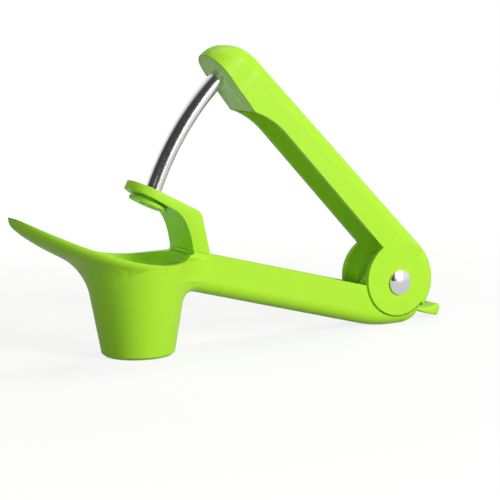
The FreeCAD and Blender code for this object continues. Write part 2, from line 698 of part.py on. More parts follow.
def spring_sleeve():
    return disc(SLEEVE_D / 2, SLEEVE_IN, LUG_IN).cut(disc(PIN_D / 2, -HALF_W, HALF_W))


def arm_screw():
    """Self-tapping screw up through the handle's floor into the arm's tenon."""
    shank = Part.makeCylinder(SCREW_D / 2, SCREW_L, V(SCREW_X, 0, SCREW_SEAT_Z))
    head = Part.makeCylinder(SCREW_HEAD_D / 2, 2.0, V(SCREW_X, 0, SCREW_SEAT_Z - 2.0))
    slot = Part.makeBox(0.8, 8, 0.9, V(SCREW_X - 0.4, -4, SCREW_SEAT_Z - 2.0))
    cross = Part.makeBox(8, 0.8, 0.9, V(SCREW_X - 4, -0.4, SCREW_SEAT_Z - 2.0))
    return shank.fuse(head).cut([slot, cross])


def torsion_spring():
    """Open-lever spring: a leg in the channel, the turns round the sleeve, a leg under the roof."""
    hinge = V(0, 0, HINGE_Z)
    dip = deg(HANDLE_SLOPE - LEG_DIP)
    rise = deg(OPEN_ANGLE + LEG_RISE)
    inward = V(math.cos(dip), 0, -math.sin(dip))
    outward = V(-math.cos(rise), 0, math.sin(rise))
    first = math.atan2(inward.z, inward.x) - math.pi / 2
    last = math.atan2(outward.z, outward.x) - math.pi / 2
    sweep = (last - first) % (2 * math.pi) + COIL_TURNS * 2 * math.pi
    height = COIL_PITCH * sweep / (2 * math.pi)
    helix = Part.makeLongHelix(COIL_PITCH, height, COIL_R, 0)
    helix.rotate(V(0, 0, 0), V(1, 0, 0), 90)
    helix.rotate(V(0, 0, 0), V(0, -1, 0), math.degrees(first))
    helix.translate(hinge + V(0, COIL_Y, 0))
    a = hinge + V(math.cos(first), 0, math.sin(first)) * COIL_R + V(0, COIL_Y, 0)
    b = hinge + V(math.cos(last), 0, math.sin(last)) * COIL_R + V(0, COIL_Y - height, 0)
    low = a - inward * LEG_L
    high = b + outward * LEG_L
    spine = Part.Wire([line(low, a)] + helix.Edges + [line(b, high)])
    across = inward.cross(V(0, 1, 0))
    corners = [low + (across * math.cos(i * math.pi / 3) + V(0, math.sin(i * math.pi / 3), 0)) * (WIRE_D / 2)
               for i in range(6)]
    ring = Part.Wire([line(a, b) for a, b in zip(corners, corners[1:] + corners[:1])])
    return spine.makePipeShell([ring], True, True)


def lock_slide():
    """Flat slide between the lugs, with a thicker finger lip behind the tail."""
    side = [on_handle(t, e) for t, e in LOCK_OUTLINE]
    bar = slab([line(side[0], side[1]), line(side[1], side[2]), arc(side[2], side[3], side[4]),
                arc(side[4], side[5], side[6]), arc(side[6], side[7], side[8]),
                line(side[8], side[0])], -LOCK_HALF, LOCK_HALF)
    reach = LIP_END - LIP_CORNER
    centre = on_handle(reach, 0)
    up = on_handle(reach, 20) - on_handle(reach, -20)
    low = on_handle(reach, -20)
    side_y = LOCK_HALF - LIP_CORNER
    posts = [Part.makeCylinder(LIP_CORNER, 40, V(low.x, y, low.z), up) for y in (-side_y, side_y)]
    front = plate([on_handle(-30, -20), on_handle(-30, 20), on_handle(reach, 20), on_handle(reach, -20)],
                  -LOCK_HALF, LOCK_HALF)
    middle = plate([on_handle(0, -20), on_handle(0, 20), on_handle(LIP_END, 20), on_handle(LIP_END, -20)],
                   -side_y, side_y)
    beside = plate([on_handle(-30, -20), on_handle(-30, 20), on_handle(TONGUE_T, 20),
                    on_handle(TONGUE_T, -20)], TONGUE_Y, LOCK_HALF)
    return bar.common(front.fuse(posts + [middle])).cut(beside)


os.makedirs("parts", exist_ok=True)
HINGE_X = -(TRAY_TIP + on_handle(LIP_END, LIP_MID).x) / 2
NODES = [lower_body, guide_arm, guide_bush, arm_screw, lever_shell, plunger_holder, plunger_rod,
         rod_cross_pin, hinge_pin, hinge_pin_cap, spring_sleeve, torsion_spring, lock_slide]
for make in NODES:
    shape = make()
    shape.translate(V(HINGE_X, 0, 0))
    shape.exportStep("parts/" + make.__name__ + ".step")
    print(make.__name__, "valid" if shape.isValid() else "not valid", round(shape.Volume), "mm3")
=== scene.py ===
import json
import math

import bmesh
import bpy
from mathutils import Matrix, Vector
from mathutils.bvhtree import BVHTree


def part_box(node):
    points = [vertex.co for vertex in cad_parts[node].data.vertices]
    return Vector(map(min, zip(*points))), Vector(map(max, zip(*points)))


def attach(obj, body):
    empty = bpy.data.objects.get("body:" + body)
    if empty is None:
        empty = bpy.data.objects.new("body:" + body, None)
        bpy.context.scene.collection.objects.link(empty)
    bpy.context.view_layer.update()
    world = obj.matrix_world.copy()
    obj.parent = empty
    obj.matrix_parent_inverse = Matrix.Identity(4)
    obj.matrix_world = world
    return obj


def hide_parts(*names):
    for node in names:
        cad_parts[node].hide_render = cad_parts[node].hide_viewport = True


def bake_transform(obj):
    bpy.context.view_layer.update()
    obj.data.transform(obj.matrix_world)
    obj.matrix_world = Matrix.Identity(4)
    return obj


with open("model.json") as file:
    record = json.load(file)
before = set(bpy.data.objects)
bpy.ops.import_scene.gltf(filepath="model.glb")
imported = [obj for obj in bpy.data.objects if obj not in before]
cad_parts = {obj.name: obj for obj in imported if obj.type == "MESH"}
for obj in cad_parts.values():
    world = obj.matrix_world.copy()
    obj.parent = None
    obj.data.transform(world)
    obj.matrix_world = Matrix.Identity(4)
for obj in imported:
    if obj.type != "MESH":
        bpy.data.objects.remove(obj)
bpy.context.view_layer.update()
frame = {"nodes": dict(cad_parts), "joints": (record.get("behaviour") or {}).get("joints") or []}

bl_info = {
    "name": "Cherry pitter with lever",
    "version": (1, 0, 0),
    "blender": (4, 2, 0),
    "location": "View3D > Sidebar > Cherry pitter",
    "description": "Dresses the cherry pitter and sets it on a white studio floor",
    "category": "Object",
}


class PitterColours(bpy.types.PropertyGroup):
    """Colours and finishes of the tool."""
    lime: bpy.props.FloatVectorProperty(
        name="Lime", description="Colour of the moulded handles, tray and lock",
        subtype="COLOR", size=3, min=0.0, max=1.0, default=(0.47, 0.88, 0.045))
    lime_deep: bpy.props.FloatVectorProperty(
        name="Deep lime", description="Colour of the faint darker clouds in the moulding",
        subtype="COLOR", size=3, min=0.0, max=1.0, default=(0.44, 0.84, 0.037))
    # The holder's colour is its own paler, greyer green, lightened further as painted fill light to
    # make up for the shade the holder sits in in the lever's head; the spring sleeve shares it.
    insert: bpy.props.FloatVectorProperty(
        name="Insert", description="Colour of the holder that closes the lever's head",
        subtype="COLOR", size=3, min=0.0, max=1.0, default=(0.70, 0.97, 0.42))
    steel: bpy.props.FloatVectorProperty(
        name="Steel", description="Colour of the polished rod and rivet",
        subtype="COLOR", size=3, min=0.0, max=1.0, default=(0.78, 0.78, 0.79))
    plain: bpy.props.FloatVectorProperty(
        name="Plain steel", description="Colour of the spring, screw and cross pin",
        subtype="COLOR", size=3, min=0.0, max=1.0, default=(0.50, 0.51, 0.53))
    plastic_rough: bpy.props.FloatProperty(
        name="Plastic roughness", description="Roughness of the satin moulded plastic",
        subtype="FACTOR", min=0.0, max=1.0, default=0.4)
    polished_rough: bpy.props.FloatProperty(
        name="Polished roughness", description="Roughness of the polished rod and rivet",
        subtype="FACTOR", min=0.0, max=1.0, default=0.15)
    plain_rough: bpy.props.FloatProperty(
        name="Plain roughness", description="Roughness of the spring, screw and cross pin",
        subtype="FACTOR", min=0.0, max=1.0, default=0.32)


class PitterSizes(bpy.types.PropertyGroup):
    """Sizes of the rounded corners and edges, and of the stage."""
    edge: bpy.props.FloatProperty(
        name="Edge softness", description="Radius of the soft moulded edges",
        unit="LENGTH", min=0.0, default=0.00035)
    flare: bpy.props.FloatProperty(
        name="Flare", description="Reach of the hollow flare under the tray",
        unit="LENGTH", min=0.001, default=0.0105)
    flare_fall: bpy.props.FloatProperty(
        name="Flare fall", description="How far the flare runs down the cup for its reach",
        subtype="FACTOR", min=0.5, max=3.0, default=1.35)
    shoulder: bpy.props.FloatProperty(
        name="Shoulder", description="Reach of the hollow corner between cup and handle",
        unit="LENGTH", min=0.001, default=0.009)
    shoulder_low: bpy.props.FloatProperty(
        name="Low shoulder", description="Reach of that corner under the handle",
        unit="LENGTH", min=0.0005, default=0.0028)
    arm_hollow: bpy.props.FloatProperty(
        name="Arm hollow", description="Reach of the arm's inner corner down its post",
        unit="LENGTH", min=0.001, default=0.0095)
    plate_hollow: bpy.props.FloatProperty(
        name="Plate hollow", description="Reach of that corner along the plate",
        unit="LENGTH", min=0.001, default=0.0062)
    arm_edge: bpy.props.FloatProperty(
        name="Arm edge", description="Most that the guide arm's edges are rounded",
        unit="LENGTH", min=0.0001, default=0.0005)
    holder_edge: bpy.props.FloatProperty(
        name="Holder edge", description="Most that the edges of the head's holder are rounded",
        unit="LENGTH", min=0.0001, default=0.00045)
    lock_edge: bpy.props.FloatProperty(
        name="Lock edge", description="Most that the edges of the lock are rounded",
        unit="LENGTH", min=0.0001, default=0.0007)
    floor: bpy.props.FloatProperty(
        name="Floor", description="Half the width of the studio floor",
        unit="LENGTH", min=1.0, default=14.0)
    distance: bpy.props.FloatProperty(
        name="Camera distance", description="From the camera to the middle of the tool",
        unit="LENGTH", min=0.1, default=0.7548)
    lens: bpy.props.FloatProperty(
        name="Lens", description="Focal length in millimetres", min=10.0, default=133.9)


# Grain of the finishes, in waves per metre, and how strongly each one shows
NOISE_SPAN = (0.35, 0.65)
CLOUD_GRAIN = 55.0
CLOUD_DETAIL = 3.0
WEAR_GRAIN = 420.0
WEAR_DETAIL = 4.0
WEAR_SHARES = (0.85, 1.2)
RIPPLE_GRAIN = 130.0
RIPPLE_DETAIL = 1.0
RIPPLE_DEPTH = 0.00003
PLASTIC_IOR = 1.5
SHEEN = 0.16
INSERT_DEEP = 0.93
POLISHED_GRAIN = 900.0
PLAIN_GRAIN = 700.0
MARK_DETAIL = 5.0
MARK_SHARES = (0.7, 1.3)
MARK_TINT = 0.92
EDGE_SAMPLES = 6

# Angles and distances for clean meshes
MERGE_GAP = 0.000002
FLAT_ANGLE = math.radians(0.6)
EDGE_ANGLE = math.radians(28.0)
EDGE_SEGMENTS = 3
SHARP_ANGLE = math.radians(35.0)
WIRE_SHARP_ANGLE = math.radians(70.0)

# Hollow corners
UP = Vector((0.0, 0.0, 1.0))
LOOK_FROM = 0.01
BLEND_STEPS = 10
BLEND_TUCK = 0.2
BLEND_ROOT = 0.0004
BLEND_SINK = 0.000012

# Cup, as its solid has it
CUP_FOOT_R = 0.0144
CUP_TAPER = 0.177
FOOT_HEIGHT = 0.0001

# Flare under the tray
CORNER_STEP = 0.0002
CORNER_GAP = 0.0004
FLARE_RINGS = 72
FLARE_SPREAD = math.radians(74.0)
FLARE_ROOM = 0.72
FLARE_ROUNDING = 3
FLARE_FADE = 8

# Section of the lower handle, as its solid has it, measured from the centre of the ears
EYE_Z = 0.020
HANDLE_SLOPE = math.radians(15.1)
HANDLE_HALF = 0.010
HANDLE_LOW = -0.022
HANDLE_ROUND = 0.0055
HANDLE_RIM = -0.0093

# Shoulder between cup and handle
SHOULDER_RINGS = 28
SHOULDER_TURN = math.radians(17.0)
SHOULDER_DROP = 0.09
SHOULDER_FAR = 0.045
SURFACE_LIFT = 0.00002

# Places where the guide arm's post and plate are felt for, clear of their fillet and bore
POST_HEIGHTS = (0.042, 0.047)
PLATE_REACHES = (0.006, 0.0085)
ARM_FEEL_Y = 0.0086
ARM_SIDE_GAP = 0.00003

# Plunger rod, as its solid has it but for the bore of its cross pin
ROD_ARC = 0.120
ROD_R = 0.0034
ROD_TIP = math.radians(20.3)
ROD_BEND_END = math.radians(47.0)
ROD_STRAIGHT = 0.0058
ROD_RIM = 0.0008
ROD_HOLLOW = 0.0009
ROD_SIDES = 48
ROD_STEPS = 72

# Lamps: name, place, width, height, watts and colour
KEY_COLOUR = (1.0, 0.96, 0.90)
FILL_COLOUR = (0.86, 1.0, 0.88)
LAMP_TARGET = (0.0, 0.0, 0.05)
LAMPS = (
    ("right_light", (0.48, -0.95, 0.40), 0.40, 0.60, 11.5, KEY_COLOUR),
    ("left_light", (-0.70, -0.80, 0.12), 0.30, 0.40, 3.6, FILL_COLOUR),
    ("top_light", (0.10, 0.25, 1.00), 0.50, 0.50, 3.4, KEY_COLOUR),
)

# World and floor
WHITE = (1.0, 1.0, 1.0)
FILL = 0.04
DIM_SIDE = (-0.85, -0.5, 0.1)
DIM_SPAN = (0.0, 0.6)
DIM_LEVELS = (1.0, 0.06)
FLOOR_MATT = 0.2
FLOOR_IN_MIRROR = 0.75
FLOOR_SPAN = (0.12, 0.55)
FLOOR_LEVELS = (0.84, 1.0)

# Camera
CAMERA_TURN = math.radians(-30.73)
CAMERA_RISE = math.radians(8.43)
CAMERA_ROLL = math.radians(-0.84)
CAMERA_TARGET = Vector((0.0054, 0.0, 0.03672))
SENSOR_WIDTH = 36.0
SIGHT_END = 100.0


def colours():
    return bpy.context.scene.pitter_colours


def sizes():
    return bpy.context.scene.pitter_sizes


def add(tree, kind, **values):
    """Makes a node and sets its properties and inputs by name."""
    node = tree.nodes.new(kind)
    for name, value in values.items():
        if name in node.inputs:
            node.inputs[name].default_value = value
        else:
            setattr(node, name, value)
    return node


def blank(name):
    """Material with an untouched Principled shader."""
    material = bpy.data.materials.new(name)
    material.use_nodes = True
    tree = material.node_tree
    shader = next(node for node in tree.nodes if node.type == "BSDF_PRINCIPLED")
    return material, tree, shader


def noise(tree, scale, detail):
    """Noise on the piece's own coordinates."""
    place = add(tree, "ShaderNodeTexCoord")
    cloud = add(tree, "ShaderNodeTexNoise", Scale=scale, Detail=detail)
    tree.links.new(place.outputs["Object"], cloud.inputs["Vector"])
    return cloud.outputs["Fac"]


def remapped(tree, source, span, levels, curve="LINEAR"):
    """Carries a value from one span to another."""
    remap = add(tree, "ShaderNodeMapRange", interpolation_type=curve)
    remap.inputs["From Min"].default_value = span[0]
    remap.inputs["From Max"].default_value = span[1]
    remap.inputs["To Min"].default_value = levels[0]
    remap.inputs["To Max"].default_value = levels[1]
    tree.links.new(source, remap.inputs["Value"])
    return remap.outputs["Result"]


def mixed_colour(tree, share, first, second):
    """Goes from one colour to another with a share."""
    mix = add(tree, "ShaderNodeMix", data_type="RGBA")
    ends = [socket for socket in mix.inputs if socket.type == "RGBA"]
    ends[0].default_value = (*first, 1.0)
    ends[1].default_value = (*second, 1.0)
    tree.links.new(share, mix.inputs["Factor"])
    return next(socket for socket in mix.outputs if socket.type == "RGBA")


def soft_edges(tree, shader, edge, height=None, depth=0.0):
    """Rounds the shading over sharp edges, where a radius is given, and adds a shallow ripple."""
    normal = None
    if edge:
        bevel = add(tree, "ShaderNodeBevel", samples=EDGE_SAMPLES, Radius=edge)
        normal = bevel.outputs["Normal"]
    if height is not None:
        bump = add(tree, "ShaderNodeBump", Distance=depth, Strength=1.0)
        tree.links.new(height, bump.inputs["Height"])
        if normal is not None:
            tree.links.new(normal, bump.inputs["Normal"])
        normal = bump.outputs["Normal"]
    tree.links.new(normal, shader.inputs["Normal"])


def moulded_plastic(name, light, deep, rough, edge):
    """Satin plastic: faint clouds of colour, uneven roughness and a very shallow sink ripple."""
    material, tree, shader = blank(name)
    clouds = noise(tree, CLOUD_GRAIN, CLOUD_DETAIL)
    tree.links.new(mixed_colour(tree, clouds, light, deep), shader.inputs["Base Color"])
    wear = noise(tree, WEAR_GRAIN, WEAR_DETAIL)
    levels = [rough * share for share in WEAR_SHARES]
    tree.links.new(remapped(tree, wear, NOISE_SPAN, levels), shader.inputs["Roughness"])
    soft_edges(tree, shader, edge, noise(tree, RIPPLE_GRAIN, RIPPLE_DETAIL), RIPPLE_DEPTH)
    shader.inputs["IOR"].default_value = PLASTIC_IOR
    shader.inputs["Specular IOR Level"].default_value = SHEEN
    return material


def steel(name, colour, rough, grain):
    """Steel with fine handling marks in its colour and roughness."""
    material, tree, shader = blank(name)
    shader.inputs["Metallic"].default_value = 1.0
    marks = noise(tree, grain, MARK_DETAIL)
    levels = [rough * share for share in MARK_SHARES]
    tree.links.new(remapped(tree, marks, NOISE_SPAN, levels), shader.inputs["Roughness"])
    worn = [value * MARK_TINT for value in colour]
    tree.links.new(mixed_colour(tree, marks, colour, worn), shader.inputs["Base Color"])
    soft_edges(tree, shader, sizes().edge)
    return material


def lime_plastic(name="lime_plastic_finish", edge=None):
    c = colours()
    found = bpy.data.materials.get(name)
    edge = sizes().edge if edge is None else edge
    return found or moulded_plastic(name, c.lime, c.lime_deep, c.plastic_rough, edge)


def blend_plastic():
    """The same lime plastic for the hollow corners, which have no sharp edge to soften."""
    return lime_plastic("lime_plastic_blend", 0.0)


def insert_plastic():
    c = colours()
    name = "insert_plastic_painted_fill"
    found = bpy.data.materials.get(name)
    # Paler plastic of the holder and sleeve: partly their own tint, partly painted fill light that
    # lightens the holder where it sits in shade.
    deep = [value * INSERT_DEEP for value in c.insert]
    return found or moulded_plastic(name, c.insert, deep, c.plastic_rough, sizes().edge)


def polished_steel():
    c = colours()
    name = "polished_steel_finish"
    found = bpy.data.materials.get(name)
    return found or steel(name, c.steel, c.polished_rough, POLISHED_GRAIN)


def plain_steel():
    c = colours()
    name = "plain_steel_finish"
    found = bpy.data.materials.get(name)
    return found or steel(name, c.plain, c.plain_rough, PLAIN_GRAIN)


def dress(material, *nodes):
    """Puts a finish on CAD nodes that stay as they are."""
    for name in nodes:
        piece = frame["nodes"][name]
        if not piece.data.materials:
            piece.data.materials.append(material)
        for slot in piece.material_slots:
            slot.material = material


def add_piece(name, form, material, body, sharp=SHARP_ANGLE):
    """Makes a finished piece of a bmesh, which rides on a body if one is given."""
    bmesh.ops.recalc_face_normals(form, faces=form.faces[:])
    for face in form.faces:
        face.smooth = True
    mesh = bpy.data.meshes.new(name)
    form.to_mesh(mesh)
    form.free()
    mesh.set_sharp_from_angle(angle=sharp)
    mesh.materials.append(material)
    piece = bpy.data.objects.new(name, mesh)
    bpy.context.scene.collection.objects.link(piece)
    if body:
        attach(piece, body)
    return piece


def merged_copy(node):
    """Copy of a CAD node's mesh, its loose triangles joined."""
    form = bmesh.new()
    form.from_mesh(frame["nodes"][node].data)
    bmesh.ops.remove_doubles(form, verts=form.verts[:], dist=MERGE_GAP)
    return form


def rounded(node, name, material, body, width):
    """Stands in for a CAD node, its edges rounded as far as short edges let the bevel go."""
    form = merged_copy(node)
    bmesh.ops.dissolve_limit(form, angle_limit=FLAT_ANGLE, verts=form.verts[:], edges=form.edges[:])
    edges = [edge for edge in form.edges
             if len(edge.link_faces) == 2 and edge.calc_face_angle() > EDGE_ANGLE]
    bmesh.ops.bevel(form, geom=edges, offset=width, offset_type="OFFSET", segments=EDGE_SEGMENTS,
                    profile=0.5, affect="EDGES", clamp_overlap=True, material=-1)
    piece = add_piece(name, form, material, body)
    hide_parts(node)


def lofted(rings):
    """Closed form through rings of points, each with as many points as the last."""
    form = bmesh.new()
    loops = []
    for points in rings:
        circle = bmesh.ops.create_circle(form, segments=len(points), radius=1.0)["verts"]
        for vertex, point in zip(circle, points):
            vertex.co = point
        loops.append(list({edge for vertex in circle for edge in vertex.link_edges}))
    for first, second in zip(loops, loops[1:]):
        bmesh.ops.bridge_loops(form, edges=first + second)
    bmesh.ops.holes_fill(form, edges=loops[0] + loops[-1], sides=0)
    return form


def surface(node):
    """Tree of a CAD node's faces, to be asked where the node's surface is."""
    mesh = frame["nodes"][node].data
    places = [vertex.co for vertex in mesh.vertices]
    return BVHTree.FromPolygons(places, [face.vertices for face in mesh.polygons])


def hinge_place():
    """Middle of the lever's hinge."""
    return Vector(next(joint for joint in frame["joints"] if joint["name"] == "lever_hinge")["pos_m"])


def cup_axis():
    """Place of the cup's upright axis along the tool."""
    places = [vertex.co for vertex in frame["nodes"]["lower_body"].data.vertices]
    foot = [place.x for place in places if place.z < FOOT_HEIGHT and place.x < 0.0]
    return (min(foot) + max(foot)) / 2


def blend_ring(start, start_normal, control, end, end_normal):
    """Hollow curve from one surface to another, closed behind by a point inside the wall."""
    inward = control - (start + end) / 2
    root = control + inward * BLEND_TUCK + inward.normalized() * BLEND_ROOT
    start = start - start_normal * BLEND_SINK
    end = end - end_normal * BLEND_SINK
    ring = []
    for i in range(BLEND_STEPS + 1):
        t = i / BLEND_STEPS
        ring.append(start * (1 - t) ** 2 + control * 2 * t * (1 - t) + end * t ** 2)
    ring.append(root)
    return ring


def under_tray(tree, axis, turn, reach):
    """Where an upright ray from below meets the cup or the tray, at a reach from the cup's axis."""
    start = Vector((axis + reach * math.cos(turn), reach * math.sin(turn), -LOOK_FROM))
    return tree.ray_cast(start, UP)


def tray_corner(tree, axis, turn):
    """Reach of the corner between cup and tray on a side, and of the tray's edge."""
    reach = CUP_FOOT_R
    corner = None
    hit = under_tray(tree, axis, turn, reach + CORNER_STEP)[0]
    while hit is not None:
        reach += CORNER_STEP
        if corner is None and (reach - CUP_FOOT_R) / CUP_TAPER - hit.z > CORNER_GAP:
            corner = reach
        hit = under_tray(tree, axis, turn, reach + CORNER_STEP)[0]
    return corner, reach


def tray_blend_rings():
    """Rings of the hollow flare between the cup's wall and the underside of the tray."""
    s = sizes()
    tree = surface("lower_body")
    axis = cup_axis()
    rings = []
    for i in range(FLARE_RINGS + 1):
        share = 2 * i / FLARE_RINGS - 1
        turn = math.pi + FLARE_SPREAD * share
        corner, edge = tray_corner(tree, axis, turn)
        if corner is None:
            continue
        # The flare keeps its reach where the tray leaves room, and fades out at its two ends.
        room = (edge - corner) * FLARE_ROOM
        fitted = room / (1 + (room / s.flare) ** FLARE_ROUNDING) ** (1 / FLARE_ROUNDING)
        out = fitted * (1 - abs(share) ** FLARE_FADE)
        place, normal = under_tray(tree, axis, turn, corner + out)[:2]
        low = (corner - CUP_FOOT_R) / CUP_TAPER - out * s.flare_fall
        radial = Vector((math.cos(turn), math.sin(turn), 0.0))
        start = Vector((axis, 0.0, low)) + radial * (CUP_FOOT_R + CUP_TAPER * low)
        rise = (radial * CUP_TAPER + UP).normalized()
        outward = (radial - UP * CUP_TAPER).normalized()
        control = start + rise * ((place - start).dot(normal) / rise.dot(normal))
        rings.append(blend_ring(start, outward, control, place, normal))
    return rings


def handle_section(way):
    """Place and outward direction on the handle's section, at a way round from its lowest line."""
    flat = HANDLE_HALF - HANDLE_ROUND
    bend = HANDLE_ROUND * math.pi / 2
    if way < flat:
        return way, HANDLE_LOW, 0.0, -1.0
    if way < flat + bend:
        turn = (way - flat) / HANDLE_ROUND
        side = flat + HANDLE_ROUND * math.sin(turn)
        height = HANDLE_LOW + HANDLE_ROUND * (1 - math.cos(turn))
        return side, height, math.sin(turn), -math.cos(turn)
    return HANDLE_HALF, HANDLE_LOW + HANDLE_ROUND + way - flat - bend, 1.0, 0.0


def handle_blend_rings():
    """Rings of the hollow shoulder between the cup's wall and the handle, right round below it."""
    s = sizes()
    tree = surface("lower_body")
    axis = cup_axis()
    along = Vector((math.cos(HANDLE_SLOPE), 0.0, -math.sin(HANDLE_SLOPE)))
    across = Vector((math.sin(HANDLE_SLOPE), 0.0, math.cos(HANDLE_SLOPE)))
    eye = Vector((hinge_place().x, 0.0, EYE_Z))
    bend_end = HANDLE_HALF - HANDLE_ROUND + HANDLE_ROUND * math.pi / 2
    wall_height = HANDLE_RIM - HANDLE_LOW - HANDLE_ROUND
    rings = []
    for i in range(-SHOULDER_RINGS, SHOULDER_RINGS + 1):
        hand = 1.0 if i >= 0 else -1.0
        way = (bend_end + wall_height) * abs(i) / SHOULDER_RINGS
        side, height, out_side, out_height = handle_section(way)
        facing = Vector((0.0, hand * out_side, 0.0)) + across * out_height
        spot = eye + Vector((0.0, hand * side, 0.0)) + across * height + facing * SURFACE_LIFT
        far = spot + along * ((axis + SHOULDER_FAR - spot.x) / along.x)
        corner, wall = tree.ray_cast(far, -along)[:2]
        if corner is None:
            raise RuntimeError("the handle's line misses the cup")
        # The corner is tight below, opens round the bend, and sweeps up along the side.
        rise = max(0.0, (way - bend_end) / wall_height)
        turn = HANDLE_SLOPE - SHOULDER_TURN * rise
        run = Vector((math.cos(turn), 0.0, -math.sin(turn)))
        share = min(1.0, way / bend_end)
        share = share * share * (3 - 2 * share)
        reach = s.shoulder_low + (s.shoulder - s.shoulder_low) * share
        away = (facing - wall * facing.dot(wall)).normalized() - UP * SHOULDER_DROP * rise
        start, start_normal = tree.find_nearest(corner + away * reach)[:2]
        end = corner + run * reach
        control = corner + run * ((start - corner).dot(start_normal) / run.dot(start_normal))
        rings.append(blend_ring(start, start_normal, control, end, facing))
    return rings


def arm_blend_rings():
    """Two rings of the deep hollow corner between the arm's post and its plate."""
    s = sizes()
    tree = surface("guide_arm")
    low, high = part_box("guide_arm")
    ahead = Vector((1.0, 0.0, 0.0))
    post = []
    for height in POST_HEIGHTS:
        start = Vector((low[0] - LOOK_FROM, ARM_FEEL_Y, height))
        spot, post_out = tree.ray_cast(start, ahead)[:2]
        post.append(spot)
    under = []
    for reach in PLATE_REACHES:
        start = Vector((post[1].x - reach, ARM_FEEL_Y, post[0].z))
        spot, plate_out = tree.ray_cast(start, UP)[:2]
        under.append(spot)
    rise = (post[1] - post[0]).normalized()
    forward = (under[1] - under[0]).normalized()
    corner = post[0] + rise * ((under[0] - post[0]).dot(plate_out) / rise.dot(plate_out))
    start = corner - rise * s.arm_hollow
    end = corner + forward * s.plate_hollow
    half = high[1] - ARM_SIDE_GAP
    rings = []
    for side in (-half, half):
        first, middle, last = (Vector((place.x, side, place.z)) for place in (start, corner, end))
        rings.append(blend_ring(first, post_out, middle, last, plate_out))
    return rings


def add_blend(name, rings):
    """Hollow corner of lime plastic on the base."""
    add_piece(name, lofted(rings), blend_plastic(), "base")


def smooth_rod():
    """Bar swept about the hinge, straight above and hollow at its tip, without the pin's bore."""
    hinge = hinge_place()
    form = bmesh.new()
    ring = bmesh.ops.create_circle(form, segments=ROD_SIDES, radius=ROD_R)["verts"]
    spot = hinge + ROD_ARC * Vector((-math.cos(ROD_TIP), 0.0, math.sin(ROD_TIP)))
    tilted = Matrix.Translation(spot) @ Matrix.Rotation(ROD_TIP, 4, "Y")
    bmesh.ops.transform(form, matrix=tilted, verts=ring)
    edges = form.edges[:]
    tip = bmesh.ops.contextual_create(form, geom=edges)["faces"][0]
    swept = bmesh.ops.spin(form, geom=edges, cent=hinge, axis=(0.0, 1.0, 0.0),
                           angle=ROD_BEND_END - ROD_TIP, steps=ROD_STEPS, use_merge=False)
    end = [item for item in swept["geom_last"] if isinstance(item, bmesh.types.BMEdge)]
    grown = bmesh.ops.extrude_edge_only(form, edges=end)["geom"]
    top = [item for item in grown if isinstance(item, bmesh.types.BMVert)]
    along = Vector((math.sin(ROD_BEND_END), 0.0, math.cos(ROD_BEND_END)))
    bmesh.ops.translate(form, vec=along * ROD_STRAIGHT, verts=top)
    bmesh.ops.holes_fill(form, edges=form.edges[:], sides=0)
    bmesh.ops.recalc_face_normals(form, faces=form.faces[:])
    bmesh.ops.inset_region(form, faces=[tip], thickness=ROD_RIM)
    bmesh.ops.poke(form, faces=[tip], offset=-ROD_HOLLOW)
    piece = add_piece("rod_polished", form, polished_steel(), "lever")
    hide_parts("plunger_rod")


def winding_spring():
    """Spring whose turns wind up along the rivet, from the handle's leg to the lever's leg."""
    form = merged_copy("torsion_spring")
    piece = add_piece("winding_spring", form, plain_steel(), None, WIRE_SHARP_ANGLE)
    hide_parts("torsion_spring")
    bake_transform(piece)


class PITTER_OT_lower_body(bpy.types.Operator):
    """Dress the tray, cup and lower handle and round the corners between them"""
    bl_idname = "pitter.lower_body"
    bl_label = "Lower body"

    def execute(self, context):
        dress(lime_plastic(), "lower_body")
        add_blend("tray_blend", tray_blend_rings())
        add_blend("handle_blend", handle_blend_rings())
        return {"FINISHED"}


class PITTER_OT_guide(bpy.types.Operator):
    """Round and dress the guide arm, hollow its inner corner and dress its bush"""
    bl_idname = "pitter.guide"
    bl_label = "Guide arm and bush"

    def execute(self, context):
        rounded("guide_arm", "arm_rounded", lime_plastic(), "base", sizes().arm_edge)
        add_blend("arm_blend", arm_blend_rings())
        dress(lime_plastic(), "guide_bush")
        return {"FINISHED"}


class PITTER_OT_lever(bpy.types.Operator):
    """Dress the lever's shell and round and dress the holder in its head"""
    bl_idname = "pitter.lever"
    bl_label = "Lever and holder"

    def execute(self, context):
        dress(lime_plastic(), "lever_shell")
        rounded("plunger_holder", "holder_rounded", insert_plastic(), "lever",
                sizes().holder_edge)
        return {"FINISHED"}


class PITTER_OT_rod(bpy.types.Operator):
    """Sweep the bent plunger rod and dress its cross pin"""
    bl_idname = "pitter.rod"
    bl_label = "Plunger rod"

    def execute(self, context):
        smooth_rod()
        dress(plain_steel(), "rod_cross_pin")
        return {"FINISHED"}


class PITTER_OT_hinge(bpy.types.Operator):
    """Dress the hinge rivet, its cap, the sleeve and the arm's screw, and wind the spring"""
    bl_idname = "pitter.hinge"
    bl_label = "Hinge"

    def execute(self, context):
        dress(polished_steel(), "hinge_pin", "hinge_pin_cap")
        dress(plain_steel(), "arm_screw")
        winding_spring()
        dress(insert_plastic(), "spring_sleeve")
        return {"FINISHED"}


class PITTER_OT_lock(bpy.types.Operator):
    """Round and dress the sliding lock"""
    bl_idname = "pitter.lock"
    bl_label = "Lock slide"

    def execute(self, context):
        rounded("lock_slide", "lock_rounded", lime_plastic(), "lock",
                sizes().lock_edge)
        return {"FINISHED"}


def softbox(name, place, width, height, watts, colour):
    """Rectangular lamp that looks at the middle of the tool."""
    lamp = bpy.data.lights.new(name, "AREA")
    lamp.shape = "RECTANGLE"
    lamp.size = width
    lamp.size_y = height
    lamp.energy = watts
    lamp.color = colour
    holder = bpy.data.objects.new(name, lamp)
    aim = (Vector(LAMP_TARGET) - Vector(place)).to_track_quat("-Z", "Y").to_matrix().to_4x4()
    holder.matrix_world = Matrix.Translation(place) @ aim
    bpy.context.scene.collection.objects.link(holder)


def background(tree, colour, strength):
    return add(tree, "ShaderNodeBackground", Color=(*colour, 1.0), Strength=strength)


